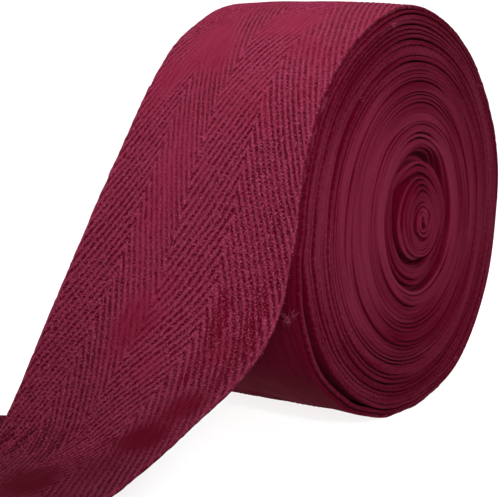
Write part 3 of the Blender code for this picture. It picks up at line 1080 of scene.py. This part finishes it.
class FinishNodes:
    """Puts together the nodes of one finish."""

    def __init__(self, name):
        self.material = bpy.data.materials.new(name)
        self.material.use_nodes = True
        self.tree = self.material.node_tree
        self.shader = self.tree.nodes["Principled BSDF"]

    def put(self, kind, **settings):
        node = self.tree.nodes.new(kind)
        for name, value in settings.items():
            setattr(node, name, value)
        return node

    def join(self, value, socket):
        if isinstance(value, bpy.types.NodeSocket):
            self.tree.links.new(value, socket)
        else:
            socket.default_value = value

    def sums(self, operation, a, b=0.0, c=0.0, clamp=False):
        node = self.put("ShaderNodeMath", operation=operation, use_clamp=clamp)
        for socket, value in zip(node.inputs, (a, b, c)):
            self.join(value, socket)
        return node.outputs[0]

    def spread(self, value, low, high, to_low=0.0, to_high=1.0):
        node = self.put("ShaderNodeMapRange", interpolation_type="SMOOTHSTEP")
        for name, item in (
            ("Value", value),
            ("From Min", low),
            ("From Max", high),
            ("To Min", to_low),
            ("To Max", to_high),
        ):
            self.join(item, node.inputs[name])
        return node.outputs["Result"]

    def uv(self, name):
        node = self.put("ShaderNodeUVMap", uv_map=name)
        split = self.put("ShaderNodeSeparateXYZ")
        self.tree.links.new(node.outputs["UV"], split.inputs[0])
        return node.outputs["UV"], split.outputs["X"], split.outputs["Y"]

    def stretched(self, vector, scale, shift=(0.0, 0.0, 0.0)):
        node = self.put("ShaderNodeMapping")
        self.tree.links.new(vector, node.inputs["Vector"])
        node.inputs["Scale"].default_value = scale
        node.inputs["Location"].default_value = shift
        return node.outputs["Vector"]

    def shifted(self, vector, shift):
        return self.stretched(vector, (1.0, 1.0, 1.0), shift)

    def off_middle(self, value):
        """A noise's distance from its middle."""
        return self.sums("SUBTRACT", value, 0.5)

    def wave(self, value, turns):
        """A wave between 0 and 1, highest at whole turns."""
        wave = self.sums("COSINE", self.sums("MULTIPLY", value, turns))
        return self.sums("MULTIPLY_ADD", wave, 0.5, 0.5)

    def noise(self, vector, scale, detail=2.0, roughness=0.5):
        node = self.put("ShaderNodeTexNoise")
        self.tree.links.new(vector, node.inputs["Vector"])
        node.inputs["Scale"].default_value = scale
        node.inputs["Detail"].default_value = detail
        node.inputs["Roughness"].default_value = roughness
        return node.outputs["Fac"]

    def mix(self, share, a, b):
        """A blend of two colours, from the first at 0 to the second at 1."""
        node = self.put("ShaderNodeMix", data_type="RGBA")
        self.join(share, node.inputs["Factor"])
        self.join(a, node.inputs[6])
        self.join(b, node.inputs[7])
        return node.outputs[2]

    def bump(self, height, distance):
        node = self.put("ShaderNodeBump")
        node.inputs["Distance"].default_value = distance
        self.tree.links.new(height, node.inputs["Height"])
        return node.outputs["Normal"]

    def point_value(self, name):
        """A value kept at the mesh's points."""
        return self.put("ShaderNodeAttribute", attribute_name=name).outputs["Fac"]

    def matt(self, colour, roughness, specular, sheen=0.0):
        """The finished material: matt, of a colour, with the pink sheen of cotton pile."""
        inputs = self.shader.inputs
        self.join(colour, inputs["Base Color"])
        inputs["Roughness"].default_value = roughness
        inputs["Specular IOR Level"].default_value = specular
        inputs["Sheen Weight"].default_value = sheen
        inputs["Sheen Roughness"].default_value = 0.5
        inputs["Sheen Tint"].default_value = (1.0, 0.5, 0.6, 1.0)
        return self.material


def twill_material(colours):
    """Cotton herringbone: ribs of beaded floats with holes between them painted dark as shade, pressed
    in places, with patches of painted shade and pale fluff painted as highlights.
    """
    finish = FinishNodes("cotton_herringbone")
    tape, length, across = finish.uv("tape")
    _, phase, _ = finish.uv("ribs")
    pressed = finish.point_value("pressed")
    beaded = finish.point_value("beaded")
    # Painted shade and darker patches from the points
    painted_shade_and_dark = finish.point_value("painted_shade_and_dark")
    raised = finish.sums("MULTIPLY_ADD", pressed, -0.97, 1.0)

    # Ribs and picks, each a little astray
    two_pi = 2.0 * math.pi
    stray = finish.off_middle(finish.noise(tape, 0.95, 2.0, 0.6))
    other_stray = finish.off_middle(finish.noise(finish.shifted(tape, (31.0, 17.0, 0.0)), 0.8, 2.0, 0.6))
    stray = finish.sums("MULTIPLY", stray, finish.sums("MULTIPLY_ADD", beaded, 0.45, 0.55))
    phase = finish.sums("ADD", stray, phase)
    length = finish.sums("MULTIPLY_ADD", other_stray, 1.8, length)
    rib = finish.wave(phase, two_pi)
    valley = finish.sums("SUBTRACT", 1.0, rib)
    pick = finish.wave(length, two_pi / PICK_SPACING)
    between_picks = finish.sums("SUBTRACT", 1.0, pick)
    woven = finish.spread(finish.sums("ABSOLUTE", across), *TWILL_ENDS, 1.0, 0.0)

    # Holes between the ribs, and notches across the ribs where the floats are beads; the shade below
    # paints them dark as their shade
    patch = finish.noise(finish.shifted(tape, (7.0, 3.0, 0.0)), 0.11, 1.0, 0.5)
    beady = finish.sums("MAXIMUM", finish.spread(patch, 0.38, 0.62, 0.55, 0.85), beaded)
    uneven = finish.noise(finish.shifted(tape, (3.0, 9.0, 0.0)), 0.6, 1.0, 0.6)
    uneven = finish.spread(uneven, 0.35, 0.65, 0.6, 1.25)
    between = finish.sums("MULTIPLY_ADD", finish.sums("MULTIPLY", beady, between_picks), -0.9, 1.0)
    holes = finish.sums("MULTIPLY", finish.sums("POWER", valley, 1.3), between)
    holes = finish.sums("MULTIPLY", finish.sums("MULTIPLY", holes, uneven), woven)
    notches = finish.sums("MULTIPLY", rib, finish.sums("POWER", between_picks, 1.6))
    notches = finish.sums("MULTIPLY", notches, finish.sums("MULTIPLY_ADD", beaded, 0.65, 0.35))
    notches = finish.sums("MULTIPLY", notches, woven)

    # Fuzz all over, pale fluff painted as highlights where the pile stands, and broad clouds
    fuzz = finish.off_middle(finish.noise(finish.stretched(tape, (1.0, 1.5, 1.0)), 1.5, 3.0, 0.75))
    fluff_highlights = finish.noise(finish.shifted(tape, (5.0, 41.0, 0.0)), 2.1, 1.0, 0.5)
    fluff_highlights = finish.sums("MULTIPLY", finish.spread(fluff_highlights, 0.54, 0.70, 0.0, 0.75), raised)
    cloud = finish.off_middle(finish.noise(tape, 0.06, 3.0, 0.55))

    # The fine height of the weave
    height = finish.sums("MULTIPLY", rib, 0.7)
    height = finish.sums("MULTIPLY_ADD", holes, -1.6, height)
    height = finish.sums("MULTIPLY_ADD", notches, -1.0, height)
    height = finish.sums("MULTIPLY", height, raised)
    height = finish.sums("MULTIPLY_ADD", fuzz, finish.sums("MULTIPLY_ADD", raised, 1.1, 0.4), height)

    # The shade, from the valleys' colour at 0 to the ribs' at 1, with painted shade in the holes and
    # notches and where the points carry painted shade
    weave = finish.sums("MULTIPLY_ADD", holes, -1.05, finish.sums("MULTIPLY_ADD", rib, 0.32, 0.10))
    weave = finish.sums("MULTIPLY_ADD", notches, -0.52, weave)
    weave = finish.sums("MULTIPLY", weave, finish.sums("MULTIPLY_ADD", beaded, 1.3, 1.0))
    shade = finish.sums("MULTIPLY_ADD", weave, raised, 0.57)
    shade = finish.sums("MULTIPLY_ADD", finish.sums("MULTIPLY", beaded, raised), 0.10, shade)
    streaks = finish.off_middle(finish.noise(finish.stretched(tape, (0.07, 1.3, 1.0)), 1.0, 2.0, 0.6))
    shade = finish.sums("MULTIPLY_ADD", finish.sums("MULTIPLY", streaks, pressed), 0.9, shade)
    shade = finish.sums("MULTIPLY_ADD", fuzz, finish.sums("MULTIPLY_ADD", raised, 0.95, 0.4), shade)
    shade = finish.sums("MULTIPLY_ADD", cloud, 0.30, shade)
    shade = finish.sums("MULTIPLY_ADD", pressed, -0.13, shade)
    # Painted shade and darker patches take the shade toward the valleys' colour
    shade = finish.sums("MULTIPLY_ADD", painted_shade_and_dark, -0.45, shade, clamp=True)
    colour = finish.mix(shade, tuple(colours.valley), tuple(colours.rib))
    # Pale fluff, painted as highlights on the crests
    colour = finish.mix(fluff_highlights, colour, tuple(colours.pale_fluff_highlight))
    finish.join(finish.bump(height, 0.00026), finish.shader.inputs["Normal"])
    return finish.matt(colour, roughness=0.9, specular=0.04, sheen=0.05)


def selvedge_material(colours):
    """Wound selvedges: smooth bands with streaks along the turns, mottled where they are fuzzy, with
    painted shade in the grooves and recesses and painted light lines on some turns.
    """
    finish = FinishNodes("wound_selvedges")
    tape, _, _ = finish.uv("tape")
    _, ring, _ = finish.uv("rings")

    # Places that run slowly round the roll and quickly across its turns
    place = finish.put("ShaderNodeTexCoord").outputs["Object"]
    split = finish.put("ShaderNodeSeparateXYZ")
    finish.join(place, split.inputs[0])
    rings = finish.put("ShaderNodeCombineXYZ")
    finish.join(finish.sums("MULTIPLY", ring, 0.8), rings.inputs[0])
    finish.join(finish.sums("MULTIPLY", split.outputs["Y"], 45.0), rings.inputs[1])
    finish.join(finish.sums("MULTIPLY", split.outputs["Z"], 45.0), rings.inputs[2])

    # Streaks and bands along the turns, fuzzy yarn toward the rim, and the points' painted shade and
    # painted light lines
    painted_face_shading = finish.point_value("painted_face_shading")
    streak = finish.off_middle(finish.noise(rings.outputs[0], 1.0, 3.0, 0.6))
    broad_rings = finish.stretched(rings.outputs[0], (0.3, 0.6, 0.6))
    band = finish.off_middle(finish.noise(broad_rings, 1.0, 1.0, 0.5))
    yarn = finish.off_middle(finish.noise(finish.stretched(tape, (1.0, 1.6, 1.0)), 1.1, 3.0, 0.65))
    yarn = finish.sums("MULTIPLY", yarn, finish.spread(ring, 30.0, 44.0, 0.6, 2.8))
    height = finish.sums("MULTIPLY_ADD", yarn, 1.1, streak)
    shade = finish.sums("MULTIPLY_ADD", streak, 1.3, 0.72)
    shade = finish.sums("MULTIPLY_ADD", band, 1.1, shade)
    shade = finish.sums("MULTIPLY_ADD", yarn, 0.8, shade)
    # Painted shade darkens toward the valleys' colour, and painted light lines lighten
    shade = finish.sums("MULTIPLY_ADD", painted_face_shading, -0.55, shade, clamp=True)
    colour = finish.mix(shade, tuple(colours.valley), tuple(colours.edge))
    finish.join(finish.bump(height, 0.00016), finish.shader.inputs["Normal"])
    return finish.matt(colour, roughness=0.93, specular=0.04, sheen=0.03)


def fibre_material(colours):
    """Loose cotton fibres, a little paler here and there."""
    finish = FinishNodes("cotton_fibres")
    place = finish.put("ShaderNodeTexCoord").outputs["Object"]
    pale = finish.spread(finish.noise(place, 400.0), 0.35, 0.65)
    colour = finish.mix(pale, tuple(colours.rib), tuple(colours.pale_fluff_highlight))
    return finish.matt(colour, roughness=0.9, specular=0.1)


def build_floor(colours):
    """A wide pale floor at the roll's foot, which sends no colour back on to the tape."""
    plane = bmesh.new()
    bmesh.ops.create_grid(plane, x_segments=2, y_segments=2, size=20.0)
    mesh = bpy.data.meshes.new("studio_floor")
    plane.to_mesh(mesh)
    plane.free()
    pale = FinishNodes("pale_floor").matt(tuple(colours.floor), roughness=0.9, specular=0.1)
    mesh.materials.append(pale)
    floor = bpy.data.objects.new("studio_floor", mesh)
    floor.visible_diffuse = False
    bpy.context.scene.collection.objects.link(floor)
    return floor


def add_soft_light(row):
    """A square lamp from a row of SOFT_LIGHTS."""
    lamp = bpy.data.lights.new(row.name, "AREA")
    lamp.shape = "SQUARE"
    lamp.size = row.size
    lamp.energy = row.power
    lamp.spread = math.radians(row.spread)
    light = bpy.data.objects.new(row.name, lamp)
    bpy.context.scene.collection.objects.link(light)
    light.location = row.place
    light.rotation_euler = (Vector(row.aim) - Vector(row.place)).to_track_quat("-Z", "Y").to_euler()


def wash_floor(floor):
    """A broad light that falls on the floor alone, so that it is one even pale tone."""
    lamp = bpy.data.lights.new("floor_wash", "SUN")
    lamp.energy = FLOOR_WASH
    lamp.angle = math.radians(90.0)
    lamp.use_shadow = False
    light = bpy.data.objects.new("floor_wash", lamp)
    bpy.context.scene.collection.objects.link(light)
    washed = bpy.data.collections.new("washed_floor")
    washed.objects.link(floor)
    light.light_linking.receiver_collection = washed


def build_studio(colours):
    """The floor, its wash, the soft lamps and the even light of a white room."""
    floor = build_floor(colours)
    wash_floor(floor)
    for row in SOFT_LIGHTS:
        add_soft_light(row)
    world = bpy.data.worlds.new("studio")
    world.use_nodes = True
    background = world.node_tree.nodes["Background"]
    background.inputs["Color"].default_value = (1.0, 1.0, 1.0, 1.0)
    background.inputs["Strength"].default_value = ROOM_LIGHT
    bpy.context.scene.world = world
    bpy.context.scene.view_settings.view_transform = "Standard"


def build_camera():
    """The camera at the photograph's place and angle."""
    data = bpy.data.cameras.new("camera")
    data.sensor_width = 36.0
    data.sensor_fit = "HORIZONTAL"
    data.lens = CAMERA_LENS
    camera = bpy.data.objects.new("camera", data)
    bpy.context.scene.collection.objects.link(camera)
    camera.location = CAMERA_PLACE
    tilt = math.radians(90.0 - CAMERA_ELEVATION)
    camera.rotation_euler = Euler((tilt, 0.0, math.radians(CAMERA_AZIMUTH)))
    bpy.context.scene.camera = camera


class TAPE_OT_wound_turns(Operator):
    """Builds the wound turns as one long spiral of tape"""

    bl_idname = "tape.wound_turns"
    bl_label = "Wound turns"

    def execute(self, context):
        build_wound_turns(context.scene.tape_sizes, context.scene.tape_colours)
        return {"FINISHED"}


class TAPE_OT_outer_tape(Operator):
    """Builds the outermost turn and the loose end that runs on from it"""

    bl_idname = "tape.outer_tape"
    bl_label = "Outermost turn and loose end"

    def execute(self, context):
        build_outer_tape(context.scene.tape_sizes, context.scene.tape_colours)
        return {"FINISHED"}


class TAPE_OT_stray_fibres(Operator):
    """Builds the lint and the short fibres along the selvedge"""

    bl_idname = "tape.stray_fibres"
    bl_label = "Stray fibres"

    def execute(self, context):
        build_stray_fibres(context.scene.tape_colours)
        return {"FINISHED"}


class TAPE_OT_studio(Operator):
    """Sets up the floor, the lights and the camera"""

    bl_idname = "tape.studio"
    bl_label = "Studio"

    def execute(self, context):
        build_studio(context.scene.tape_colours)
        build_camera()
        return {"FINISHED"}


class TAPE_PT_panel(Panel):
    """Lists the pieces of the roll"""

    bl_label = "Roll of twill tape"
    bl_idname = "TAPE_PT_panel"
    bl_space_type = "VIEW_3D"
    bl_region_type = "UI"
    bl_category = "Tape"

    def draw(self, context):
        sizes = context.scene.tape_sizes
        colours = context.scene.tape_colours
        for group in (sizes, colours):
            for name in group.bl_rna.properties.keys():
                if name not in ("rna_type", "name"):
                    self.layout.prop(group, name)
        for operator in (TAPE_OT_wound_turns, TAPE_OT_outer_tape, TAPE_OT_stray_fibres, TAPE_OT_studio):
            self.layout.operator(operator.bl_idname)


CLASSES = (
    TapeSizes,
    TapeColours,
    TAPE_OT_wound_turns,
    TAPE_OT_outer_tape,
    TAPE_OT_stray_fibres,
    TAPE_OT_studio,
    TAPE_PT_panel,
)


def register():
    for item in CLASSES:
        bpy.utils.register_class(item)
    bpy.types.Scene.tape_sizes = PointerProperty(type=TapeSizes)
    bpy.types.Scene.tape_colours = PointerProperty(type=TapeColours)


def unregister():
    del bpy.types.Scene.tape_colours
    del bpy.types.Scene.tape_sizes
    for item in reversed(CLASSES):
        bpy.utils.unregister_class(item)


def main():
    register()
    bpy.ops.tape.wound_turns()
    bpy.ops.tape.outer_tape()
    bpy.ops.tape.stray_fibres()
    bpy.ops.tape.studio()


if __name__ == "__main__":
    main()
